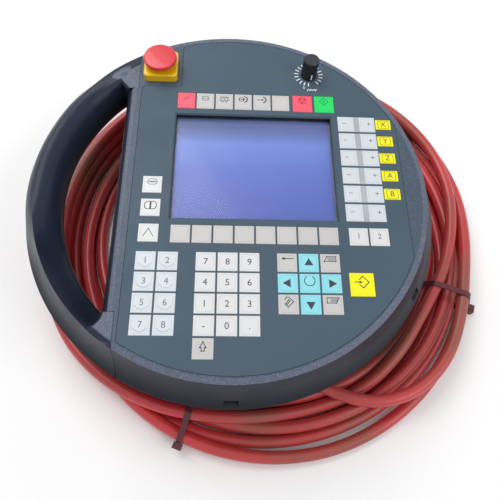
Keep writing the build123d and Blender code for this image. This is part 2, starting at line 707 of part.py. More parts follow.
def override_knob():
    """Fluted knob with a recess for the bush and a bore for the shaft."""
    low = FACE_Z + KNOB_LIFT
    top = FACE_Z + KNOB_TOP
    knob = rod(KNOB_X, KNOB_Y, KNOB_R, low, top)
    knob = chamfer(knob.edges().sort_by(Axis.Z)[-1], 0.7)
    flute_r = 0.9
    for k in range(KNOB_FLUTES):
        angle = KNOB_REST + (k + 0.5) * 360 / KNOB_FLUTES
        x, y = spoke(KNOB_R + 0.35, angle)
        knob -= rod(KNOB_X + x, KNOB_Y + y, flute_r, low + 2.2, top - 1.4)
    knob -= rod(KNOB_X, KNOB_Y, BUSH_R + FIT, low - 1, FACE_Z + BUSH_TOP + 0.4)
    return knob - rod(KNOB_X, KNOB_Y, SHAFT_R + SHAFT_FIT, low, top - 2.6)


def potentiometer_shaft():
    return rod(KNOB_X, KNOB_Y, SHAFT_R, PLATE_Z - POT_DEPTH + 1, FACE_Z + KNOB_TOP - 2.8)


def potentiometer():
    """Round body under the plate, with its threaded bush and three solder tags."""
    low = PLATE_Z - POT_DEPTH
    body = rod(KNOB_X, KNOB_Y, POT_R, low, PLATE_Z) + rod(KNOB_X, KNOB_Y, BUSH_R, PLATE_Z, FACE_Z + BUSH_TOP)
    for k in (-1, 0, 1):
        body += plate(KNOB_X + 4 * k, KNOB_Y - POT_R - 1, 1.6, 6, low + 2, low + 2.8)
    return body - rod(KNOB_X, KNOB_Y, SHAFT_R + SHAFT_FIT, low + 0.9, FACE_Z + BUSH_TOP + 1)


def potentiometer_nut():
    nut = hexagon(KNOB_X, KNOB_Y, NUT_ACROSS, RECESS_Z, RECESS_Z + NUT_THICK)
    return nut - rod(KNOB_X, KNOB_Y, BUSH_R + SHAFT_FIT, 0, FACE_Z)


def enabling_button():
    """Right-hand button: a crowned pad, a flange behind the wall and a plunger into the switch."""
    y = ENABLE_L / 2
    z0, z1 = ENABLE_Z - ENABLE_H / 2, ENABLE_Z + ENABLE_H / 2
    inside = ENABLE_FACE_X - 3.9
    pad = block(inside, ENABLE_FACE_X + ENABLE_PROUD, -y, y, z0, z1)
    pad = fillet(pad.edges().filter_by(Axis.X), 4)
    pad = fillet(pad.faces().sort_by(Axis.X)[-1].edges(), 2)
    for k in range(-3, 4):
        pad -= block(ENABLE_FACE_X + ENABLE_PROUD - 0.5, HUMP_R, 5 * k - 0.6, 5 * k + 0.6, z0 + 3, z1 - 3)
    flange = block(inside - 1.5, inside, -y - ENABLE_FLANGE, y + ENABLE_FLANGE,
                   z0 - ENABLE_FLANGE, z1 + ENABLE_FLANGE)
    plunger = Pos(inside - 5, 0, ENABLE_Z) * Rot(0, 90, 0) * Cylinder(ENABLE_PLUNGER_R, 10)
    return pad + flange + plunger


def enabling_switch():
    """Right-hand switch block, standing on the hump's floor, bored for the plunger."""
    front = ENABLE_FACE_X - 3.9 - 1.5 - ENABLE_TRAVEL - FIT
    body = block(front - 14, front, -13, 13, HUMP_FLOOR, ENABLE_Z + 8)
    return body - Pos(front - 5, 0, ENABLE_Z) * Rot(0, 90, 0) * Cylinder(ENABLE_PLUNGER_R + FIT, 11)


def cable_gland():
    """Hexagon, dome and thread of the gland, bored for the cable."""
    hexagon_plane = along_outlet(OUTLET_BOSS_END)
    body = extrude(hexagon_plane * RegularPolygon(GLAND_HEX / 2, 6, major_radius=False), GLAND_HEX_LENGTH)
    body += outlet_rod(GLAND_THREAD_R, OUTLET_BOSS_END - 10, OUTLET_BOSS_END)
    dome = outlet_rod(GLAND_HEX / 2 - 0.6, OUTLET_BOSS_END + GLAND_HEX_LENGTH, OUTLET_BOSS_END + GLAND_LENGTH)
    far = dome.edges().sort_by(lambda e: -(e.center() - OUTLET).length)[0]
    return body + fillet(far, 3)


def bend_sleeve():
    """Tapered rubber sleeve with grooves that let it bend."""
    start = OUTLET_BOSS_END + GLAND_LENGTH
    wide = along_outlet(start) * Circle(SLEEVE_R)
    narrow = along_outlet(start + SLEEVE_LENGTH) * Circle(CABLE_R + 1.2)
    sleeve = loft([wide, narrow])
    for k in range(5):
        at = start + 4 + 4 * k
        sleeve -= outlet_rod(SLEEVE_R + 1, at, at + 1.4) - outlet_rod(CABLE_R + 1.0, at, at + 1.4)
    return sleeve


def on_coil(r, angle, z=0.0):
    """A point at a radius and an angle round the coil."""
    return Vector(COIL_X + r * cos(radians(angle)), COIL_Y + r * sin(radians(angle)), z)


def lead_points():
    """Route of the cable from the bend sleeve up to the coil."""
    mouth = along_outlet(OUTLET_BOSS_END + GLAND_LENGTH + SLEEVE_LENGTH).origin
    end = on_coil(LEAD_END_R, LEAD_END_ANGLE, LEAD_END_Z)
    heading = radians(LEAD_END_ANGLE + 90)
    before = end - Vector(cos(heading), sin(heading), 0) * 36
    return [mouth, mouth + along_outlet(0).z_dir * 30, Vector(105, -149, 26), Vector(138, -141, 25.6),
            Vector(166, -117, 25), before, end]


def tail_points():
    """Route of the cable from the innermost turn to the connector."""
    start = on_coil(134.5, 0, CABLE_R)
    return [start, start + Vector(0, 20, 0), Vector(152, 46, 7.5),
            Vector(130, 70, PLUG_R), Vector(101, 83, PLUG_R)]


def corner_radii(points):
    """The widest rounding that each corner's two runs allow."""
    radii = []
    for a, b, c in zip(points, points[1:], points[2:]):
        half_turn = radians((b - a).get_angle(c - b)) / 2
        radii.append(0.45 * min((b - a).length, (c - b).length) / tan(half_turn))
    return radii


def cable(name, points):
    """A round cable along straight runs joined by arcs."""
    radii = corner_radii(points)
    path = FilletPolyline(*points, radius=radii)
    start = Plane(path @ 0, z_dir=path % 0)
    solid = sweep(start * Circle(CABLE_R), path=path)
    expected = pi * CABLE_R ** 2 * path.length
    print(name, "length", round(path.length), "radii", [round(r) for r in radii],
          "volume over section times length", round(solid.volume / expected, 3))
    return solid


def coil_ring(r0, r1, z0, z1, start, stop):
    """Part of a flat ring round the coil's centre, between two angles."""
    face = Plane.XZ * (Pos((r0 + r1) / 2, (z0 + z1) / 2) * Rectangle(r1 - r0, z1 - z0))
    solid = revolve(face, Axis.Z, revolution_arc=stop - start)
    return Pos(COIL_X, COIL_Y, 0) * (Rot(0, 0, start) * solid)


def cable_coil():
    """Outer shape of the coil: two layers all round, a third on part of it, and a slot for the tail."""
    coil = coil_ring(TAIL_SLOT_R, COIL_OUT_R, 0, COIL_LAYERS, 0, 360)
    coil += coil_ring(COIL_IN_R, TAIL_SLOT_R, 0, COIL_LAYERS, TAIL_SLOT_ANGLE, 360)
    coil += coil_ring(COIL_TOP_IN_R, COIL_TOP_OUT_R, COIL_LAYERS, COIL_TOP + 1, LEAD_END_ANGLE, TOP_END_ANGLE)
    for angle in TIE_ANGLES:
        notch = block(COIL_IN_R - 1, COIL_OUT_R + 1, -TIE_WIDTH / 2 - TIE_FIT, TIE_WIDTH / 2 + TIE_FIT,
                      -1, TIE + TIE_FIT)
        coil -= Pos(COIL_X, COIL_Y, 0) * (Rot(0, 0, angle) * notch)
    return coil


def cable_tie(angle, top):
    """One tie round the bundle, with its head on the outside."""
    r0, r1 = COIL_IN_R - TIE_FIT, COIL_OUT_R + TIE_FIT
    outer = block(r0 - TIE, r1 + TIE, -TIE_WIDTH / 2, TIE_WIDTH / 2, 0, top + TIE_FIT + TIE)
    inner = block(r0, r1, -TIE_WIDTH, TIE_WIDTH, TIE, top + TIE_FIT)
    head = block(r1 + TIE, r1 + TIE + 4.5, -3.6, 3.6, 8, 14.5)
    return Pos(COIL_X, COIL_Y, 0) * (Rot(0, 0, angle) * (outer - inner + head))


def plug_rod(r, start, stop):
    """A cylinder along the connector's axis, measured from the cable's end."""
    *_, before, end = tail_points()
    heading = Vector(end.X - before.X, end.Y - before.Y, 0).normalized()
    return extrude(Plane(end + heading * start, z_dir=heading) * Circle(r), stop - start)


def cable_connector():
    """Round metal connector: clamping nut, barrel and the insert with its pins."""
    body = plug_rod(PLUG_R - 3, 0, 16) + plug_rod(PLUG_R - 1, 16, PLUG_LENGTH - RING_LENGTH)
    return body + plug_rod(PLUG_R - 3.5, PLUG_LENGTH - RING_LENGTH, PLUG_LENGTH - 2)


def connector_ring():
    """Knurled coupling ring that turns on the connector."""
    start = PLUG_LENGTH - RING_LENGTH + 0.2
    return plug_rod(PLUG_R, start, PLUG_LENGTH) - plug_rod(PLUG_R - 3.3, start - 1, PLUG_LENGTH + 1)


def build():
    cells = key_cells()
    save("front_housing", front_housing())
    save("rear_housing", rear_housing())
    save("housing_gasket", gasket())
    whole_grip = grip()
    save("grip_front", grip_half(whole_grip, SEAM_Z, FACE_Z + 1))
    save("grip_rear", grip_half(whole_grip, 0, SEAM_Z))
    save("membrane_overlay", membrane_overlay(cells))
    save("keypad_circuit", keypad_circuit())
    save("display_window", display_window())
    save("lcd_module", lcd_module())
    save("lcd_panel", lcd_panel())
    save("main_board", main_board())
    save("housing_screws", *housing_screws())
    save("board_screws", *board_screws())
    save("cover_screws", *cover_screws())
    save("grip_screws", *grip_screws())
    save("connection_cover", connection_cover())
    save("estop_collar", estop_collar())
    save("estop_mushroom", estop_mushroom())
    save("estop_stem", estop_stem())
    save("estop_contact_block", estop_contact_block())
    save("override_knob", override_knob())
    save("potentiometer", potentiometer())
    save("potentiometer_shaft", potentiometer_shaft())
    save("potentiometer_nut", potentiometer_nut())
    half_turn = Rot(0, 0, 180)
    save("enabling_button_right", enabling_button())
    save("enabling_button_left", half_turn * enabling_button())
    save("enabling_switches", enabling_switch(), half_turn * enabling_switch())
    save("cable_gland", cable_gland())
    save("bend_sleeve", bend_sleeve())
    save("cable_lead", cable("lead", lead_points()))
    save("cable_tail", cable("tail", tail_points()))
    save("cable_coil", cable_coil())
    save("cable_ties", cable_tie(TIE_ANGLES[0], COIL_LAYERS), cable_tie(TIE_ANGLES[1], COIL_TOP + 2))
    save("cable_connector", cable_connector())
    save("connector_ring", connector_ring())
    names = sorted({cell[0] for cell in cells})
    for name in names:
        save(name, *[key_pad(*cell[1:]) for cell in cells if cell[0] == name])


build()
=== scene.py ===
"""Looks of the handheld terminal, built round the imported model."""
import math

import bmesh
import bpy
from mathutils import Matrix, Vector


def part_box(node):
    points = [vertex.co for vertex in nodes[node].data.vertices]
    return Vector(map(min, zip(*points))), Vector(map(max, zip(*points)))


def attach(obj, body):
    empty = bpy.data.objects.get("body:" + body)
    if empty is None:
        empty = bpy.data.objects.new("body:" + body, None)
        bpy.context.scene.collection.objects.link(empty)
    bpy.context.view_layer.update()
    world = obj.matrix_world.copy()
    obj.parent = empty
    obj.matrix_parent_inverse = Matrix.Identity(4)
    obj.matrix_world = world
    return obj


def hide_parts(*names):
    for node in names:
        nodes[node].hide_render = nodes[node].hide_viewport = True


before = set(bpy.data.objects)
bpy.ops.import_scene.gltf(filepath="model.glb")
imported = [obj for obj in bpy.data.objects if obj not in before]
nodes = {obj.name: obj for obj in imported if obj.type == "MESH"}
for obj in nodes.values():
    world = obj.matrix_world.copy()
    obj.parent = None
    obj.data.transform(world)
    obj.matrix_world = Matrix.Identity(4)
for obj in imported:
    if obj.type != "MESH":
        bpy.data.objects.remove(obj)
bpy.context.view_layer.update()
BODY = "terminal"
MM = 0.001

scene = bpy.context.scene

# Camera at the photograph's place
FOCAL_PX = 496.8
IMAGE = 500
ELEVATION = math.radians(66.1)
YAW = math.radians(-6.82)
ROLL = math.radians(7.19)
AIM = Vector((11.7, -52.9, 85.0)) * MM
DISTANCE = 345.0 * MM


def add_camera():
    level = math.cos(ELEVATION)
    back = Vector((math.sin(YAW) * level, -math.cos(YAW) * level, math.sin(ELEVATION)))
    right = Vector((math.cos(YAW), math.sin(YAW), 0.0))
    up = back.cross(right)
    rolled_right = right * math.cos(ROLL) + up * math.sin(ROLL)
    rolled_up = up * math.cos(ROLL) - right * math.sin(ROLL)
    data = bpy.data.cameras.new("camera")
    data.sensor_width = 36.0
    data.lens = FOCAL_PX / IMAGE * 36.0
    data.clip_start = 0.01
    camera = bpy.data.objects.new("camera", data)
    scene.collection.objects.link(camera)
    turn = Matrix((rolled_right, rolled_up, back)).transposed()
    camera.matrix_world = Matrix.Translation(AIM + back * DISTANCE) @ turn.to_4x4()
    scene.camera = camera


add_camera()

# Cable: the route's points from the model's source, in millimetres
CABLE_D = 9.4
COIL_CENTRE = (28.0, -5.0)
LEAD_END_R = 170.0
LEAD_END_ANGLE = -15.0
LEAD_END_Z = 24.2
LEAD_STRAIGHT = 36.0
LEAD = [(46.73, -125.0, 26.0), (72.71, -140.0, 26.0), (105.0, -149.0, 26.0), (138.0, -141.0, 25.6),
        (166.0, -117.0, 25.0)]
TAIL = [(162.5, -5.0, 4.7), (162.5, 15.0, 4.7), (152.0, 46.0, 7.5), (130.0, 70.0, 13.0),
        (101.0, 83.0, 13.0)]
TIE_ANGLES = (-111.0, -20.0)
TURN_STEP = 15.0
HULL = 1.0086  # the spline runs this much inside its control points on a turn
POINT_R = 0.001  # the curve's own box is this much wider than the cable
LAYER_1, LAYER_2 = 4.7, 14.1
LAST = 2880.0  # degrees of coil in all, eight turns

# The two loose turns on top, as angle, radius and height: the lead goes out over the others, under itself
# at the near side, comes up again as the strand that crosses on the right, and sinks into the second layer
LOOSE_TURNS = (
    (-15, 170.0, 24.2), (0, 174.0, 18.0), (10, 180.0, 13.0), (22, 186.0, 10.0), (35, 185.0, 10.5),
    (50, 180.5, 12.0), (70, 177.0, 13.8), (120, 176.0, 14.1), (160, 178.5, 12.4), (185, 181.0, 11.0),
    (203, 182.0, 12.5), (215, 179.0, 18.0), (226, 174.0, 23.0), (238, 167.5, 23.9), (250, 160.0, 23.7),
    (262, 153.0, 21.0), (275, 149.5, 16.2), (285, 149.0, 14.3), (295, 150.0, 15.3), (303, 149.5, 18.5),
    (311, 147.5, 22.5), (320, 143.5, 24.2), (328, 142.5, 24.2), (335, 145.5, 24.1), (342, 149.0, 24.0),
    (357, 158.0, 23.9), (365, 163.5, 23.9), (374, 170.0, 23.9), (385, 175.5, 23.6), (400, 178.0, 23.2),
    (430, 171.5, 23.7), (480, 169.0, 23.8), (540, 168.0, 23.8), (575, 165.0, 23.8), (590, 158.0, 23.8),
    (602, 150.5, 23.2), (614, 144.5, 21.0), (626, 140.5, 17.5), (638, 139.5, 14.6), (650, 139.5, 14.1),
)
SECOND_START = LOOSE_TURNS[-1][0]
SECOND_STOP = 1300.0
SECOND_R = LOOSE_TURNS[-1][1]
SECOND_PITCH = 10.4
ROOM_START = 870.0  # the second layer makes room for the strand that crosses under the housing
ROOM = 10.0
ROOM_SPAN = 120.0
DROP_SPAN = 60.0
OUTER_R = 180.0
INNER_R = 134.5
WANDER = 1.2  # how far the turns of the lowest layer stray from their spiral


def on_coil(r, angle, z):
    a = math.radians(angle)
    return (COIL_CENTRE[0] + r * math.cos(a), COIL_CENTRE[1] + r * math.sin(a), z)


def looseness(angle):
    """None at the two ties, most of it half-way between them on the near side."""
    between = TIE_ANGLES[1] - TIE_ANGLES[0]
    a = (angle - TIE_ANGLES[0]) % 360.0
    if a <= between:
        return math.sin(math.pi * a / between)
    return 0.55 * math.sin(math.pi * (a - between) / (360.0 - between)) ** 0.7


def loose_turn(angle):
    """Radius and height between the two listed places on either side."""
    for (a0, r0, z0), (a1, r1, z1) in zip(LOOSE_TURNS, LOOSE_TURNS[1:]):
        if a0 <= angle <= a1:
            t = (angle - a0) / (a1 - a0)
            return r0 + (r1 - r0) * t, z0 + (z1 - z0) * t


def second_layer(angle):
    t = min(1.0, max(0.0, (angle - ROOM_START) / ROOM_SPAN))
    return SECOND_R + SECOND_PITCH * (angle - SECOND_START) / 360.0 + ROOM * t * t * (3.0 - 2.0 * t)


def coil_place(angle):
    """Radius and height of the cable's middle after that many degrees of coil."""
    if angle <= SECOND_START:
        return loose_turn(angle)
    if angle <= SECOND_STOP:
        return second_layer(angle), LAYER_2
    first_start = SECOND_STOP + DROP_SPAN
    if angle <= first_start:
        t = (angle - SECOND_STOP) / DROP_SPAN * math.pi / 2
        r0 = second_layer(SECOND_STOP)
        return r0 + (OUTER_R - r0) * math.sin(t), LAYER_2 + (LAYER_1 - LAYER_2) * (1.0 - math.cos(t))
    n = (angle - first_start) / 360.0
    r = OUTER_R - (OUTER_R - INNER_R) * (angle - first_start) / (LAST - first_start)
    return r + WANDER * looseness(angle) * math.sin(n * 3.7 + 1.0), LAYER_1


def cable_points():
    end = Vector(on_coil(LEAD_END_R, LEAD_END_ANGLE, LEAD_END_Z))
    heading = math.radians(LEAD_END_ANGLE + 90.0)
    before = end - Vector((math.cos(heading), math.sin(heading), 0.0)) * LEAD_STRAIGHT
    points = LEAD + [tuple(before), tuple(end)]
    angle = LEAD_END_ANGLE + TURN_STEP
    while angle < LAST - 0.1:
        r, z = coil_place(angle)
        points.append(on_coil(HULL * r, angle, z))
        angle += TURN_STEP
    return points + TAIL


def add_cable():
    data = bpy.data.curves.new("cable", "CURVE")
    data.dimensions = "3D"
    points = cable_points()
    spline = data.splines.new("NURBS")
    spline.points.add(len(points) - 1)
    for point, place in zip(spline.points, points):
        point.co = (place[0] * MM, place[1] * MM, place[2] * MM, 1.0)
        point.radius = POINT_R
    spline.order_u = 3
    spline.use_endpoint_u = True
    spline.resolution_u = 6
    data.bevel_depth = CABLE_D / 2 * MM / POINT_R
    data.bevel_resolution = 5
    data.use_fill_caps = True
    cable = bpy.data.objects.new("cable", data)
    scene.collection.objects.link(cable)
    return cable


cable = add_cable()
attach(cable, BODY)
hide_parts("cable_lead", "cable_coil", "cable_tail")


def centreline(curve):
    """Points of the curve's own line, without its thickness."""
    bare = curve.data.copy()
    bare.bevel_depth = 0.0
    bare.use_fill_caps = False
    holder = bpy.data.objects.new("bare", bare)
    scene.collection.objects.link(holder)
    mesh = bpy.data.meshes.new_from_object(holder)
    points = [v.co.copy() for v in mesh.vertices]
    bpy.data.objects.remove(holder)
    bpy.data.meshes.remove(mesh)
    bpy.data.curves.remove(bare)
    return points


cable_line = centreline(cable)


# Materials
def colour(r, g, b):
    """Linear colour from the 0 to 255 that a screen shows."""
    out = []
    for c in (r, g, b):
        c /= 255.0
        out.append(c / 12.92 if c <= 0.04045 else ((c + 0.055) / 1.055) ** 2.4)
    return (*out, 1.0)


class Surface:
    """A material whose colour, roughness and bump come from nodes in the object's own coordinates."""

    def __init__(self, name, roughness=0.45, metallic=0.0, coat=0.0):
        self.mat = bpy.data.materials.new(name)
        self.mat.use_nodes = True
        self.tree = self.mat.node_tree
        self.shader = self.tree.nodes["Principled BSDF"]
        self.shader.inputs["Roughness"].default_value = roughness
        self.shader.inputs["Metallic"].default_value = metallic
        self.shader.inputs["Coat Weight"].default_value = coat
        self.coords = self.tree.nodes.new("ShaderNodeTexCoord").outputs["Object"]

    def noise(self, scale, detail=3.0, roughness=0.55):
        node = self.tree.nodes.new("ShaderNodeTexNoise")
        node.inputs["Scale"].default_value = scale
        node.inputs["Detail"].default_value = detail
        node.inputs["Roughness"].default_value = roughness
        self.tree.links.new(self.coords, node.inputs["Vector"])
        return node.outputs["Fac"]

    def specks(self, scale):
        node = self.tree.nodes.new("ShaderNodeTexVoronoi")
        node.inputs["Scale"].default_value = scale
        self.tree.links.new(self.coords, node.inputs["Vector"])
        return node.outputs["Color"]

    def ramp(self, value, *stops):
        node = self.tree.nodes.new("ShaderNodeValToRGB")
        ramp = node.color_ramp
        while len(ramp.elements) < len(stops):
            ramp.elements.new(0.5)
        for element, (place, shade) in zip(ramp.elements, stops):
            element.position = place
            element.color = shade if len(shade) == 4 else (*shade, 1.0)
        self.tree.links.new(value, node.inputs["Fac"])
        return node.outputs["Color"]

    def mix(self, factor, first, second):
        node = self.tree.nodes.new("ShaderNodeMix")
        node.data_type = "RGBA"
        for socket, value in ((node.inputs[0], factor), (node.inputs[6], first), (node.inputs[7], second)):
            if isinstance(value, (float, int, tuple)):
                socket.default_value = value
            else:
                self.tree.links.new(value, socket)
        return node.outputs[2]

    def math(self, operation, first, second=0.5):
        node = self.tree.nodes.new("ShaderNodeMath")
        node.operation = operation
        for socket, value in zip(node.inputs, (first, second)):
            if isinstance(value, float):
                socket.default_value = value
            else:
                self.tree.links.new(value, socket)
        return node.outputs[0]

    def part(self, axis):
        """X, Y or Z of the object's coordinates."""
        node = self.tree.nodes.new("ShaderNodeSeparateXYZ")
        self.tree.links.new(self.coords, node.inputs[0])
        return node.outputs[axis]

    def rise(self, value, low, high):
        node = self.tree.nodes.new("ShaderNodeMapRange")
        node.interpolation_type = "SMOOTHSTEP"
        node.inputs["From Min"].default_value = low
        node.inputs["From Max"].default_value = high
        self.tree.links.new(value, node.inputs["Value"])
        return node.outputs["Result"]

    def paint(self, socket, value):
        self.tree.links.new(value, self.shader.inputs[socket])

    def bump(self, height, strength, distance):
        node = self.tree.nodes.new("ShaderNodeBump")
        node.inputs["Strength"].default_value = strength
        node.inputs["Distance"].default_value = distance
        self.tree.links.new(height, node.inputs["Height"])
        self.tree.links.new(node.outputs["Normal"], self.shader.inputs["Normal"])


def shade(rgb, factor):
    return colour(*(min(255.0, c * factor) for c in rgb))


def finish(name, rgb, roughness=0.45, metallic=0.0, coat=0.0, grain=900.0, depth=0.00004, spread=0.06,
           bump=0.3, specular=0.5):
    """A moulded or printed surface: its colour drifts a little, its gloss varies and its skin has a grain."""
    surface = Surface(name, roughness, metallic, coat)
    surface.shader.inputs["Specular IOR Level"].default_value = specular
    drift = surface.noise(14.0, 4.0)
    tone = surface.ramp(drift, (0.3, shade(rgb, 1.0 - spread)), (0.7, shade(rgb, 1.0 + spread)))
    surface.paint("Base Color", tone)
    gloss = surface.noise(60.0, 5.0)
    low, high = max(0.02, roughness - 0.06), min(1.0, roughness + 0.07)
    surface.paint("Roughness", surface.ramp(gloss, (0.3, (low,) * 3), (0.7, (high,) * 3)))
    surface.bump(surface.noise(grain, 2.0), bump, depth)
    return surface


WALL_DARK = (22, 29, 42)
# The grip's wall: the shell's dark navy, lightened as a painted sheen on its upper part.
GRIP_WALL_SHEEN = (34, 43, 60)
# Tone of the walls' lower part: painted shade where the wall turns under, away from the light.
WALL_FOOT_SHADE = (24, 30, 37)
WALL_DRIFT = (32, 38, 50)
WALL_SHADE_FADE = (0.073, 0.058)  # heights between which the wall turns to the painted shade at its foot
FACE_GREY = (78, 89, 104)
BEVEL_GREY = (96, 104, 121)
FLAT_Z = (0.08488, 0.08496)  # heights between which the bevel ends and the flat face begins
HOUSING_BEVEL_Z = 0.08398
GRIP_BEVEL_Z = 0.0846
EDGE = 0.00008
LOW_SPECULAR = 0.2


def shell_material(name, bevel_z, dark):
    """Textured plastic: dark on the walls, with painted shade towards their foot and, on the grip, a painted
    sheen on the upper wall, and speckled grey on the bevel and the flat face.
    """
    surface = Surface(name, 0.36)
    height = surface.part(2)
    # Painted shade: below these heights the wall colour turns to the darker foot tone.
    wall = surface.mix(surface.rise(height, *WALL_SHADE_FADE), colour(*dark), colour(*WALL_FOOT_SHADE))
    drift = surface.noise(9.0, 4.0)
    wall = surface.mix(surface.math("MULTIPLY", drift, 0.35), wall, colour(*WALL_DRIFT))
    specks = surface.specks(1500.0)
    flat = surface.ramp(specks, (0.3, shade(FACE_GREY, 0.93)), (0.62, colour(*FACE_GREY)),
                        (0.95, shade(FACE_GREY, 1.16)))
    slope = surface.ramp(specks, (0.3, shade(BEVEL_GREY, 0.9)), (0.62, colour(*BEVEL_GREY)),
                         (0.95, shade(BEVEL_GREY, 1.2)))
    grains = surface.mix(surface.rise(height, *FLAT_Z), slope, flat)
    top = surface.rise(height, bevel_z - EDGE, bevel_z + EDGE)
    surface.paint("Base Color", surface.mix(top, wall, grains))
    gloss = surface.noise(45.0, 5.0)
    surface.paint("Roughness", surface.ramp(gloss, (0.3, (0.32,) * 3), (0.7, (0.42,) * 3)))
    surface.shader.inputs["Specular IOR Level"].default_value = LOW_SPECULAR
    surface.bump(specks, 0.09, 0.00005)
    return surface.mat


def cable_material():
    """Satin jacket, red where it is clean and browner where it has been handled and has dulled."""
    surface = Surface("cable_jacket", 0.34)
    wear = surface.noise(13.0, 3.0, 0.4)
    tone = surface.ramp(wear, (0.40, colour(208, 60, 66)), (0.53, colour(186, 64, 62)),
                        (0.64, colour(152, 80, 66)))
    streak = surface.noise(240.0, 4.0)
    tone = surface.mix(surface.math("MULTIPLY", streak, 0.25), tone, colour(120, 52, 50))
    surface.paint("Base Color", tone)
    surface.paint("Roughness", surface.ramp(wear, (0.35, (0.28,) * 3), (0.7, (0.45,) * 3)))
    surface.bump(surface.noise(420.0, 3.0), 0.25, 0.00008)
    return surface.mat


def screen_material():
    """The lit display: light in its upper half, deeper blue towards the foot, and a painted band of shade
    along the top below the bezel.
    """
    x0, x1 = (corner.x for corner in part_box("display_window"))
    y0, y1 = (corner.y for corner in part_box("display_window"))
    surface = Surface("lit_screen", 0.3)
    up = surface.rise(surface.part(1), y0, y1)
    # The last, dark stop is painted shade: a band along the screen's top edge below the bezel.
    glow_and_shade = surface.ramp(up, (0.0, colour(66, 84, 170)), (0.45, colour(82, 104, 190)),
                        (0.82, colour(104, 130, 206)), (0.97, colour(66, 80, 132)))
    across = surface.rise(surface.part(0), x0, x1)
    glow_and_shade = surface.mix(surface.math("MULTIPLY", across, 0.22), glow_and_shade, colour(70, 90, 178))
    rows = surface.tree.nodes.new("ShaderNodeTexWave")
    rows.bands_direction = "Y"
    rows.inputs["Scale"].default_value = 900.0
    surface.tree.links.new(surface.coords, rows.inputs["Vector"])
    glow_and_shade = surface.mix(surface.math("MULTIPLY", rows.outputs["Fac"], 0.05), glow_and_shade, colour(60, 76, 150))
    surface.paint("Base Color", glow_and_shade)
    surface.paint("Emission Color", glow_and_shade)
    surface.shader.inputs["Emission Strength"].default_value = 0.22
    surface.bump(surface.noise(700.0), 0.03, 0.00002)
    return surface.mat


def pane_material():
    surface = Surface("clear_pane", 0.06)
    surface.shader.inputs["Alpha"].default_value = 0.07
    tone = surface.ramp(surface.noise(20.0), (0.3, colour(150, 160, 185)), (0.7, colour(175, 185, 210)))
    surface.paint("Base Color", tone)
    surface.bump(surface.noise(260.0), 0.02, 0.00001)
    return surface.mat


def metal(name, rgb, roughness):
    surface = finish(name, rgb, roughness, 1.0, grain=1400.0, depth=0.00002, spread=0.05, bump=0.15)
    return surface.mat


def dress(node, mat):
    data = nodes[node].data
    data.materials.clear()
    data.materials.append(mat)


MATERIALS = {
    "front_housing": shell_material("housing_shell", HOUSING_BEVEL_Z, WALL_DARK),
    # The grip shell's wall colour carries a painted sheen.
    "grip_front": shell_material("grip_shell", GRIP_BEVEL_Z, GRIP_WALL_SHEEN),
    "rear_housing": finish("rear_shell", (34, 41, 48), 0.46).mat,
    "membrane_overlay": finish("face_film", (72, 89, 103), 0.5, grain=2600.0, spread=0.03, bump=0.22,
                               specular=LOW_SPECULAR).mat,
    "keypad_circuit": finish("circuit_sheet", (150, 140, 110), 0.4).mat,
    "display_window": pane_material(),
    "lcd_panel": screen_material(),
    "lcd_module": metal("module_sheet", (150, 152, 156), 0.35),
    "main_board": finish("board_green", (30, 84, 52), 0.3, coat=0.4).mat,
    "housing_gasket": finish("gasket_rubber", (28, 28, 30), 0.7).mat,
    "housing_screws": metal("screw_steel", (172, 173, 176), 0.3),
    "estop_collar": finish("collar_yellow", (238, 192, 4), 0.3, coat=0.25, grain=500.0, spread=0.02).mat,
    "estop_mushroom": finish("stop_red", (214, 34, 48), 0.33, coat=0.2, grain=600.0, spread=0.03).mat,
    "estop_stem": metal("turned_steel", (178, 180, 184), 0.25),
    "estop_contact_block": finish("switch_black", (36, 36, 40), 0.5).mat,
    "override_knob": finish("knob_black", (24, 27, 34), 0.42, grain=1600.0, depth=0.00006, bump=0.4).mat,
    "enabling_button_left": finish("button_grey", (140, 144, 150), 0.5).mat,
    "cable_gland": metal("plated_brass", (190, 188, 178), 0.26),
    "bend_sleeve": finish("sleeve_rubber", (30, 30, 32), 0.62).mat,
    "cable_connector": metal("connector_body", (186, 187, 184), 0.34),
    "connector_ring": metal("coupling_metal", (170, 172, 172), 0.38),
}
SHARED = {
    "grip_rear": "rear_housing", "connection_cover": "rear_housing", "board_screws": "housing_screws",
    "cover_screws": "housing_screws", "grip_screws": "housing_screws", "potentiometer": "lcd_module",
    "potentiometer_shaft": "estop_stem", "potentiometer_nut": "estop_stem",
    "enabling_switches": "estop_contact_block", "enabling_button_right": "enabling_button_left",
}
for name, mat in MATERIALS.items():
    dress(name, mat)
for name, other in SHARED.items():
    dress(name, MATERIALS[other])
cable.data.materials.append(cable_material())

KEY_COLOURS = {
    "white": (217, 218, 219), "grey": (196, 195, 193), "blue": (208, 215, 221), "red": (243, 88, 108),
    "green": (8, 214, 98), "yellow": (246, 238, 10), "cyan": (140, 216, 226),
}
KEY_FINISH = {name: finish("key_" + name, rgb, 0.4, grain=2200.0, spread=0.012, bump=0.15).mat
              for name, rgb in KEY_COLOURS.items()}
# Emboss outlines: the key colour darkened slightly, as painted shade along the raised edge.
KEY_RIDGE_SHADE = {name: finish("ridge_shade_" + name, tuple(c * 0.95 for c in rgb), 0.42, spread=0.01).mat
             for name, rgb in KEY_COLOURS.items()}
MODE_KEYS = ("reset", "cancel", "jog_mode", "teach_mode", "auto_mode", "panel", "stop", "start")
CURSOR_KEYS = ("backspace", "up", "page_up", "left", "select", "right", "insert", "down", "page_down")
ARROW_KEYS = ("up", "left", "select", "right", "down")
BANKS = {"soft_keys": "grey", "user_keys": "blue", "jog_keys": "blue", "axis_labels": "yellow",
         "service_keys": "white", "spindle_keys": "white"}
SINGLE = {name: "grey" for name in MODE_KEYS + CURSOR_KEYS}
SINGLE.update({name: "cyan" for name in ARROW_KEYS})
SINGLE.update({"reset": "red", "stop": "red", "start": "green", "input": "yellow"})
for name, tint in BANKS.items():
    dress(name, KEY_FINISH[tint])

SHIFT_KEY_DEPTH = 0.0142


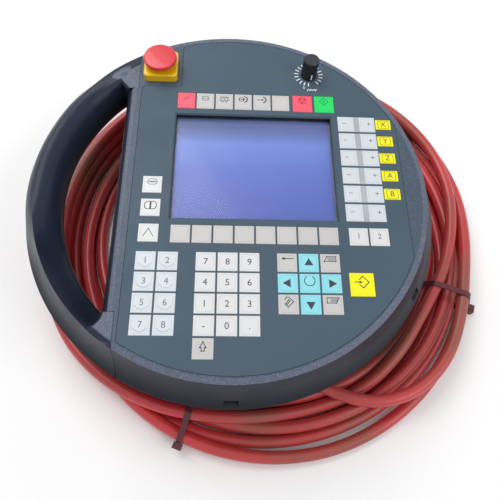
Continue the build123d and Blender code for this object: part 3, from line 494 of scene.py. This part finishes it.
def number_key_material():
    """White keys, and the one below the last row in the grey of the plain function keys."""
    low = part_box("number_keys")[0].y + SHIFT_KEY_DEPTH
    surface = Surface("number_key_film", 0.4)
    drift = surface.noise(14.0, 4.0)
    rgb = KEY_COLOURS["white"]
    white = surface.ramp(drift, (0.3, shade(rgb, 0.99)), (0.7, shade(rgb, 1.01)))
    row = surface.rise(surface.part(1), low - 0.0004, low + 0.0004)
    surface.paint("Base Color", surface.mix(row, shade(KEY_COLOURS["grey"], 0.98), white))
    surface.paint("Roughness", surface.ramp(surface.noise(60.0, 5.0), (0.3, (0.34,) * 3), (0.7, (0.47,) * 3)))
    surface.bump(surface.noise(2200.0, 2.0), 0.15, 0.00004)
    return surface.mat


dress("number_keys", number_key_material())
for name, tint in SINGLE.items():
    dress(name + "_key", KEY_FINISH[tint])

INK = finish("ink_dark", (46, 50, 60), 0.5).mat
INK_SOFT = finish("ink_grey", (104, 108, 118), 0.5).mat
INK_WHITE = finish("ink_white", (236, 238, 240), 0.5).mat
INK_RED = finish("ink_wine", (150, 40, 60), 0.5).mat
INK_GREEN = finish("ink_green", (6, 120, 66), 0.5).mat
LABEL_FRAME = finish("label_frame", (150, 146, 20), 0.5).mat
STRIP_GREY = finish("strip_grey", (176, 181, 188), 0.5, grain=2600.0, spread=0.08).mat

# Printed signs, in millimetres
BOLD = 1.4  # how much wider than stated every stroke is printed
SUNK = 0.02  # how far a print reaches into what carries it
PROUD = 0.05


class Print:
    """Thin ink on top of the keys of one body, gathered into one mesh."""

    def __init__(self, body, name):
        self.body = body
        self.name = name
        self.mesh = bmesh.new()
        self.materials = []

    def slot(self, mat):
        if mat not in self.materials:
            self.materials.append(mat)
        return self.materials.index(mat)

    def area(self, points, z, mat, height=PROUD):
        """A filled outline with a small thickness."""
        index = self.slot(mat)
        low = [self.mesh.verts.new((x * MM, y * MM, (z - SUNK) * MM)) for x, y in points]
        high = [self.mesh.verts.new((x * MM, y * MM, (z + height) * MM)) for x, y in points]
        faces = [self.mesh.faces.new(high), self.mesh.faces.new(low[::-1])]
        for k in range(len(points)):
            j = (k + 1) % len(points)
            faces.append(self.mesh.faces.new((low[k], low[j], high[j], high[k])))
        for face in faces:
            face.material_index = index

    def line(self, points, z, mat, width=0.45, height=PROUD):
        """A stroke of even width, each run a bar with its ends lapped."""
        for (x0, y0), (x1, y1) in zip(points, points[1:]):
            length = math.hypot(x1 - x0, y1 - y0)
            half = width * BOLD / 2
            ux, uy = (x1 - x0) / length * half, (y1 - y0) / length * half
            corners = [(x0 - ux - uy, y0 - uy + ux), (x0 - ux + uy, y0 - uy - ux),
                       (x1 + ux + uy, y1 + uy - ux), (x1 + ux - uy, y1 + uy + ux)]
            self.area(corners, z, mat, height)

    def band(self, outline, z, mat, width=0.4, height=PROUD):
        """A closed stroke round an outline, mitred by moving each point towards the middle."""
        cx = sum(p[0] for p in outline) / len(outline)
        cy = sum(p[1] for p in outline) / len(outline)
        index = self.slot(mat)
        rings = []
        inner = width * BOLD
        for inset, level in ((0.0, z - SUNK), (0.0, z + height), (inner, z + height), (inner, z - SUNK)):
            ring = []
            for x, y in outline:
                reach = math.hypot(x - cx, y - cy)
                f = (reach - inset) / reach
                place = ((cx + (x - cx) * f) * MM, (cy + (y - cy) * f) * MM, level * MM)
                ring.append(self.mesh.verts.new(place))
            rings.append(ring)
        count = len(outline)
        for a, b in zip(rings, rings[1:] + rings[:1]):
            for k in range(count):
                j = (k + 1) % count
                self.mesh.faces.new((a[k], a[j], b[j], b[k])).material_index = index

    def word(self, text, x, y, size, z, mat):
        """A figure or sign centred on a place."""
        data = bpy.data.curves.new("sign", "FONT")
        data.body = text
        data.size = size * MM
        data.align_x = "CENTER"
        data.align_y = "CENTER"
        data.extrude = 0.035 * MM
        data.resolution_u = 3
        holder = bpy.data.objects.new("sign", data)
        scene.collection.objects.link(holder)
        bpy.context.view_layer.update()
        mesh = bpy.data.meshes.new_from_object(holder)
        mesh.transform(Matrix.Translation((x * MM, y * MM, (z + 0.015) * MM)))
        before = len(self.mesh.faces)
        self.mesh.from_mesh(mesh)
        self.mesh.faces.ensure_lookup_table()
        index = self.slot(mat)
        for face in self.mesh.faces[before:]:
            face.material_index = index
        bpy.data.objects.remove(holder)
        bpy.data.meshes.remove(mesh)
        bpy.data.curves.remove(data)

    def place(self, slot_name):
        bmesh.ops.recalc_face_normals(self.mesh, faces=self.mesh.faces)
        data = bpy.data.meshes.new(self.name)
        self.mesh.to_mesh(data)
        self.mesh.free()
        for mat in self.materials:
            data.materials.append(mat)
        piece = bpy.data.objects.new(self.name, data)
        scene.collection.objects.link(piece)
        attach(piece, self.body)
        return piece


def rounded(x, y, width, height, r, steps=5):
    """Outline of a rounded rectangle."""
    points = []
    for cx, cy, start in ((1, 1, 0), (-1, 1, 90), (-1, -1, 180), (1, -1, 270)):
        for k in range(steps + 1):
            a = math.radians(start + 90 * k / steps)
            centre_x = x + cx * (width / 2 - r)
            centre_y = y + cy * (height / 2 - r)
            points.append((centre_x + r * math.cos(a), centre_y + r * math.sin(a)))
    return points


def arc(x, y, r, start, stop, steps=14):
    angles = [math.radians(start + (stop - start) * k / steps) for k in range(steps + 1)]
    return [(x + r * math.cos(a), y + r * math.sin(a)) for a in angles]


def fields(node):
    """Middle, size and top of each key of a node in millimetres, from the top left, row by row."""
    data = nodes[node].data
    islands = {}
    links = {}

    def root(key):
        while links[key] != key:
            key = links[key]
        return key

    for face in data.polygons:
        keys = [tuple(round(c * 1e5) for c in data.vertices[v].co) for v in face.vertices]
        for key in keys:
            links.setdefault(key, key)
        for key in keys[1:]:
            links[root(key)] = root(keys[0])
    for key in links:
        islands.setdefault(root(key), []).append(key)
    found = []
    for points in islands.values():
        x0, x1 = min(p[0] for p in points) / 100, max(p[0] for p in points) / 100
        y0, y1 = min(p[1] for p in points) / 100, max(p[1] for p in points) / 100
        top = max(p[2] for p in points) / 100
        found.append(((x0 + x1) / 2, (y0 + y1) / 2, x1 - x0, y1 - y0, top))
    return sorted(found, key=lambda f: (-round(f[1]), f[0]))


def dome(ink, field, tint):
    """The faint embossed outline of the switch under a key: a low raised band, tinted a little darker than
    the key as painted shade along the emboss.
    """
    x, y, w, h, z = field
    ink.band(rounded(x, y, w - 2.4, h - 2.4, 2.2), z, KEY_RIDGE_SHADE[tint], 0.35, 0.07)


panel = Print(BODY, "panel_print")
for field, sign in zip(fields("number_keys"), "789456123-0.^"):
    x, y, w, h, z = field
    dome(panel, field, "white")
    if sign == "^":
        arrow = [(-2.1, 0.6), (0, 4.4), (2.1, 0.6), (1.0, 0.6), (1.0, -1.6), (-1.0, -1.6), (-1.0, 0.6),
                 (-2.1, 0.6)]
        panel.line([(x + i, y + j) for i, j in arrow], z, INK, 0.4)
    else:
        panel.word(sign, x, y - 0.2, 6.6, z, INK)
for k, field in enumerate(fields("user_keys")):
    x, y, w, h, z = field
    dome(panel, field, "blue")
    panel.line(arc(x, y + 0.4, 4.9, 200, 340), z, KEY_RIDGE_SHADE["blue"], 0.25)
    panel.word(str(k + 1), x, y + 0.2, 6.4, z, INK_SOFT)
for field in fields("soft_keys"):
    dome(panel, field, "grey")
for k, field in enumerate(fields("spindle_keys")):
    dome(panel, field, "white")
    panel.word(str(k + 1), field[0], field[1] + 0.4, 6.0, field[4], INK_SOFT)
for field in fields("jog_keys"):
    x, y, w, h, z = field
    half = h / 2 - 0.3
    strip = [(x - 2.2, y - half), (x + 2.2, y - half), (x + 2.2, y + half), (x - 2.2, y + half)]
    panel.area(strip, z, STRIP_GREY, 0.03)
    for side in (-1, 1):
        panel.line([(x + side * 10.0 - 1.2, y + 0.6), (x + side * 10.0 + 1.2, y + 0.6)], z, INK_SOFT, 0.35)
        panel.band(rounded(x + side * 8.6, y, 10.6, h - 2.4, 2.0), z, KEY_RIDGE_SHADE["blue"], 0.3, 0.06)
    panel.line([(x + 10.0, y - 0.6), (x + 10.0, y + 1.8)], z, INK_SOFT, 0.35)
for field, letter in zip(fields("axis_labels"), "XYZAB"):
    x, y, w, h, z = field
    panel.band(rounded(x, y, 8.8, 7.4, 0.8, 3), z, LABEL_FRAME, 0.4, 0.06)
    panel.word(letter, x, y, 6.2, z, INK)
menu, info, caret = fields("service_keys")
for field in (menu, info, caret):
    dome(panel, field, "white")
x, y, w, h, z = menu
panel.band(rounded(x, y + 2.2, 7.4, 5.0, 2.2), z, INK_SOFT, 0.4)
panel.line([(x - 2.0, y + 2.2), (x + 2.0, y + 2.2)], z, INK_SOFT, 0.8)
x, y, w, h, z = info
panel.band(rounded(x, y + 1.6, 9.0, 6.6, 2.6), z, INK, 0.45)
panel.line([(x, y - 0.4), (x, y + 2.2)], z, INK, 0.9)
panel.line([(x, y + 3.3), (x, y + 3.6)], z, INK, 0.9)
x, y, w, h, z = caret
panel.line([(x - 3.4, y - 2.6), (x, y + 3.2), (x + 3.4, y - 2.6)], z, INK_SOFT, 0.4)

# Scale round the knob
knob_low, knob_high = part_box("override_knob")
knob_x, knob_y = (knob_low.x + knob_high.x) / 2 / MM, (knob_low.y + knob_high.y) / 2 / MM
face_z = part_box("membrane_overlay")[1].z / MM
SCALE_R = 8.9
SCALE_END_R = 11.5
SCALE_TICKS = 18
SCALE_START = -93.0
SCALE_SPAN = 318.0
for k in range(SCALE_TICKS):
    a = math.radians(SCALE_START - k * SCALE_SPAN / (SCALE_TICKS - 1))
    start = (knob_x + SCALE_R * math.cos(a), knob_y + SCALE_R * math.sin(a))
    stop = (knob_x + SCALE_END_R * math.cos(a), knob_y + SCALE_END_R * math.sin(a))
    panel.line([start, stop], face_z, INK_WHITE, 0.62)
panel.word("0", knob_x - 4.4, knob_y - 13.6, 3.4, face_z, INK_WHITE)
zigzag = [(knob_x - 1.8 + 1.1 * k, knob_y - 15.6 + (1.0 if k % 2 else -1.0)) for k in range(8)]
panel.line(zigzag, face_z, INK_WHITE, 0.4)
panel.place("film")


def icon(key, ink, field):
    """The sign printed on one of the sprung keys."""
    x, y, w, h, z = field

    def at(*points):
        return [(x + i, y + j) for i, j in points]

    if key == "reset":
        ink.line(at((-2.2, 0.4), (1.0, 4.2)), z, INK_RED, 0.35)
        ink.line(at((-0.2, 0.4), (3.0, 4.2)), z, INK_RED, 0.35)
    elif key == "cancel":
        ink.band(rounded(x, y + 2.6, 5.6, 4.4, 2.0), z, INK, 0.35)
        ink.line(at((-1.4, 2.6), (1.4, 2.6)), z, INK, 0.35)
    elif key == "jog_mode":
        ink.line(at(*[(-3.5 + k, 3.8 + (0.9 if k % 2 else -0.9)) for k in range(8)]), z, INK, 0.35)
        ink.line(at(*[(-3.6 + 0.6 * k, 0.6 + 1.1 * math.sin(k * 1.3)) for k in range(13)]), z, INK, 0.35)
    elif key in ("teach_mode", "auto_mode"):
        ink.line([(x + i, y + j) for i, j in arc(0.4, 2.6, 2.9, -75, 75, 10)], z, INK, 0.55)
        ink.line(at((-3.6, 2.6), (1.0, 2.6)), z, INK, 0.4)
        ink.area(at((-0.2, 1.6), (1.8, 2.6), (-0.2, 3.6)), z, INK)
        if key == "teach_mode":
            ink.band(rounded(x - 1.2, y + 2.6, 4.4, 4.4, 2.0), z, INK, 0.35)
    elif key == "stop":
        ink.band(arc(x, y + 3.0, 3.4, 0, 345, 23), z, INK_RED, 0.4)
        ink.line(at((-2.2, 4.4), (2.2, 4.4), (0, 0.8), (-2.2, 4.4)), z, INK_RED, 0.4)
    elif key == "start":
        ink.line(at((0, -0.8), (3.6, 2.8), (0, 6.4), (-3.6, 2.8), (0, -0.8)), z, INK_GREEN, 0.4)
        ink.line(at((0, 1.4), (0, 4.2)), z, INK_GREEN, 0.45)
    elif key == "backspace":
        ink.line(at((-2.0, 3.0), (4.2, 3.0)), z, INK, 0.45)
        ink.area(at((-4.2, 3.0), (-1.6, 1.9), (-1.6, 4.1)), z, INK)
    elif key in ("up", "down", "left", "right"):
        turn = {"right": 0, "up": 90, "left": 180, "down": 270}[key]
        corners = arc(0, 0, 3.6, turn, turn + 240, 2)
        ink.area([(x + i, y + j) for i, j in corners], z, INK)
    elif key == "select":
        ink.line([(x + i, y + j) for i, j in arc(0, 1.8, 3.6, -235, 55, 20)], z, INK_SOFT, 0.4)
    elif key == "insert":
        ink.line(at((-2.6, 3.4), (-0.4, 5.6), (3.4, 1.8), (-0.4, -2.0), (-2.6, 0.2)), z, INK, 0.4)
        ink.line(at((-1.8, 0.6), (0.2, 3.2), (1.0, 2.4), (-1.0, -0.2), (-1.8, 0.6)), z, INK, 0.4)
    elif key in ("page_up", "page_down"):
        side = 1 if key == "page_up" else -1
        outline = [(-4.2, 1.2), (-2.2, 1.2 + 3.6), (4.0, 1.2 + 3.6), (4.0, 1.2), (-4.2, 1.2)]
        mid = 3.0
        ink.line(at(*[(i * side, mid + (j - mid) * side) for i, j in outline]), z, INK_SOFT, 0.5)
        for j in (2.2, 3.0, 3.8):
            ink.line(at((-1.6, j), (3.0, j)), z, INK_SOFT, 0.3)
    elif key == "input":
        ink.line(at((-1.8, 3.6), (0.6, 6.0), (4.8, 1.8), (0.6, -2.4), (-1.8, 0.0)), z, INK, 0.45)
        ink.line(at((-5.0, 1.8), (-0.4, 1.8)), z, INK, 0.45)
        ink.area(at((-1.8, 0.9), (0.6, 1.8), (-1.8, 2.7)), z, INK)


for key, tint in SINGLE.items():
    ink = Print(key + "_key_body", key + "_print")
    field = fields(key + "_key")[0]
    dome(ink, field, tint)
    icon(key, ink, field)
    ink.place("key_" + {"grey": "white"}.get(tint, tint))


POINTER_ANGLE = -75.0


def knob_pointer():
    """A short white bar on the knob's skirt."""
    ink = Print("override_dial", "knob_pointer")
    a = math.radians(POINTER_ANGLE)
    c, s = math.cos(a), math.sin(a)
    low = knob_low.z / MM + 0.6
    half = 0.55
    points = [(6.0, -half), (6.45, -half), (6.45, half), (6.0, half)]
    index = ink.slot(INK_WHITE)
    rings = []
    for z in (low + 5.0, low):
        places = [((knob_x + r * c - t * s) * MM, (knob_y + r * s + t * c) * MM, z * MM) for r, t in points]
        rings.append([ink.mesh.verts.new(place) for place in places])
    for k in range(4):
        j = (k + 1) % 4
        ink.mesh.faces.new((rings[0][k], rings[0][j], rings[1][j], rings[1][k])).material_index = index
    ink.mesh.faces.new(rings[0]).material_index = index
    ink.mesh.faces.new(rings[1][::-1]).material_index = index
    return ink.place("knob_black")


knob_pointer()


# Cable ties, drawn tight round the strands where they cross the tie's plane
TIE_WIDTH = 4.8
TIE = 1.2
TIE_EDGE = 0.25
TIE_SLACK = 0.1
HEAD_HALF_WIDTH = 3.4
BUNDLE_R = (120.0, 200.0)
UNDER = 0.6  # the strap is pressed flat to this thickness where the coil stands on it
TIE_RED = finish("tie_plastic", (84, 22, 34), 0.38, grain=500.0).mat


def strands_at(angle):
    """Radius and height of each place where the cable passes the plane at an angle, near the coil."""
    a = math.radians(angle)
    across = Vector((math.cos(a), math.sin(a), 0.0))
    along = Vector((-math.sin(a), math.cos(a), 0.0))
    middle = Vector((COIL_CENTRE[0] * MM, COIL_CENTRE[1] * MM, 0.0))
    found = []
    for p, q in zip(cable_line, cable_line[1:]):
        d0, d1 = (p - middle).dot(along), (q - middle).dot(along)
        if d0 * d1 <= 0 and d0 != d1:
            place = p.lerp(q, d0 / (d0 - d1)) - middle
            r = place.dot(across) / MM
            if BUNDLE_R[0] < r < BUNDLE_R[1]:
                found.append((r, place.z / MM))
    return found


def hull(points):
    """Convex outline of a set of points."""
    points = sorted(set(points))

    def turn(a, b, c):
        return (b[0] - a[0]) * (c[1] - a[1]) - (b[1] - a[1]) * (c[0] - a[0])

    def half(rows):
        line = []
        for p in rows:
            while len(line) > 1 and turn(line[-2], line[-1], p) <= 0:
                line.pop()
            line.append(p)
        return line[:-1]

    return half(points) + half(points[::-1])


def tie(angle, name):
    """A strap round the bundle with its head on the outer side."""
    reach = CABLE_D / 2 + TIE_SLACK
    cloud = []
    for r, z in strands_at(angle):
        for k in range(24):
            a = 2 * math.pi * k / 24
            height = max(UNDER, z + reach * math.sin(a))
            cloud.append((round(r + reach * math.cos(a), 3), round(height, 3)))
    inner = hull(cloud)
    mesh = bmesh.new()
    a = math.radians(angle)

    def place(r, side, z):
        x = COIL_CENTRE[0] + r * math.cos(a) - side * math.sin(a)
        y = COIL_CENTRE[1] + r * math.sin(a) + side * math.cos(a)
        return mesh.verts.new((x * MM, y * MM, z * MM))

    count = len(inner)
    outer = []
    for k in range(count):
        (x0, z0), (x1, z1), (x2, z2) = inner[k - 1], inner[k], inner[(k + 1) % count]
        tx, tz = x2 - x0, z2 - z0
        size = math.hypot(tx, tz)
        outer.append((x1 + TIE * tz / size, max(0.0, z1 - TIE * tx / size)))
    rows = []
    for (xi, zi), (xo, zo) in zip(inner, outer):
        rows.append([place(xi, -TIE_WIDTH / 2, zi), place(xo, -TIE_WIDTH / 2 + TIE_EDGE, zo),
                     place(xo, TIE_WIDTH / 2 - TIE_EDGE, zo), place(xi, TIE_WIDTH / 2, zi)])
    for k in range(count):
        p, q = rows[k], rows[(k + 1) % count]
        for j in range(4):
            i = (j + 1) % 4
            mesh.faces.new((p[j], p[i], q[i], q[j]))
    r_out = max(p[0] for p in outer)
    z_mid = [p[1] for p in outer if p[0] > r_out - 0.5][0]
    head_r = (r_out - 0.6, r_out + 4.2)
    head_side = (-HEAD_HALF_WIDTH, HEAD_HALF_WIDTH)
    head_z = (z_mid - 3.0, z_mid + 3.4)
    corners = [place(r, side, z) for r in head_r for side in head_side for z in head_z]
    for face in ((0, 1, 3, 2), (4, 6, 7, 5), (0, 4, 5, 1), (2, 3, 7, 6), (0, 2, 6, 4), (1, 5, 7, 3)):
        mesh.faces.new([corners[k] for k in face])
    bmesh.ops.recalc_face_normals(mesh, faces=mesh.faces)
    data = bpy.data.meshes.new(name)
    mesh.to_mesh(data)
    mesh.free()
    data.materials.append(TIE_RED)
    piece = bpy.data.objects.new(name, data)
    scene.collection.objects.link(piece)
    edge = piece.modifiers.new("edge", "BEVEL")
    edge.width = 0.3 * MM
    edge.segments = 2
    edge.limit_method = "ANGLE"
    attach(piece, BODY)
    return piece


ties = [tie(angle, "tie_%d" % k) for k, angle in enumerate(TIE_ANGLES)]
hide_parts("cable_ties")
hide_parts("cable_ties")

# Floor, world and lamps
WORLD_LIGHT = 0.55
FLOOR = 3.0
floor_mesh = bpy.data.meshes.new("floor")
corners = [(-FLOOR, -FLOOR, 0), (FLOOR, -FLOOR, 0), (FLOOR, FLOOR, 0), (-FLOOR, FLOOR, 0)]
floor_mesh.from_pydata(corners, [], [(0, 1, 2, 3)])
floor = bpy.data.objects.new("floor", floor_mesh)
floor.data.materials.append(finish("studio_floor", (252, 252, 252), 0.9, spread=0.004).mat)
scene.collection.objects.link(floor)


def add_lamp(name, place, aim, size, power):
    data = bpy.data.lights.new(name, "AREA")
    data.shape = "RECTANGLE"
    data.size, data.size_y = size
    data.energy = power
    lamp = bpy.data.objects.new(name, data)
    scene.collection.objects.link(lamp)
    lamp.location = place
    lamp.rotation_euler = (Vector(aim) - Vector(place)).to_track_quat("-Z", "Y").to_euler()


add_lamp("key_lamp", (-0.5, 0.6, 1.2), (0, 0, 0), (0.9, 0.9), 11.0)
add_lamp("fill_lamp", (0.9, -0.5, 0.9), (0, 0, 0), (0.8, 0.8), 4.5)
world = bpy.data.worlds.new("world")
world.use_nodes = True
sky = world.node_tree.nodes["Background"]
sky.inputs[0].default_value = (1, 1, 1, 1)
paths = world.node_tree.nodes.new("ShaderNodeLightPath")
shown = paths.outputs["Is Camera Ray"]
for kind in ("Is Glossy Ray", "Is Transmission Ray"):
    either = world.node_tree.nodes.new("ShaderNodeMath")
    either.operation = "MAXIMUM"
    world.node_tree.links.new(shown, either.inputs[0])
    world.node_tree.links.new(paths.outputs[kind], either.inputs[1])
    shown = either.outputs[0]
seen = world.node_tree.nodes.new("ShaderNodeMapRange")
seen.inputs["To Min"].default_value = WORLD_LIGHT
seen.inputs["To Max"].default_value = 1.0
world.node_tree.links.new(shown, seen.inputs["Value"])
world.node_tree.links.new(seen.outputs["Result"], sky.inputs[1])
scene.world = world
scene.view_settings.view_transform = "Standard"
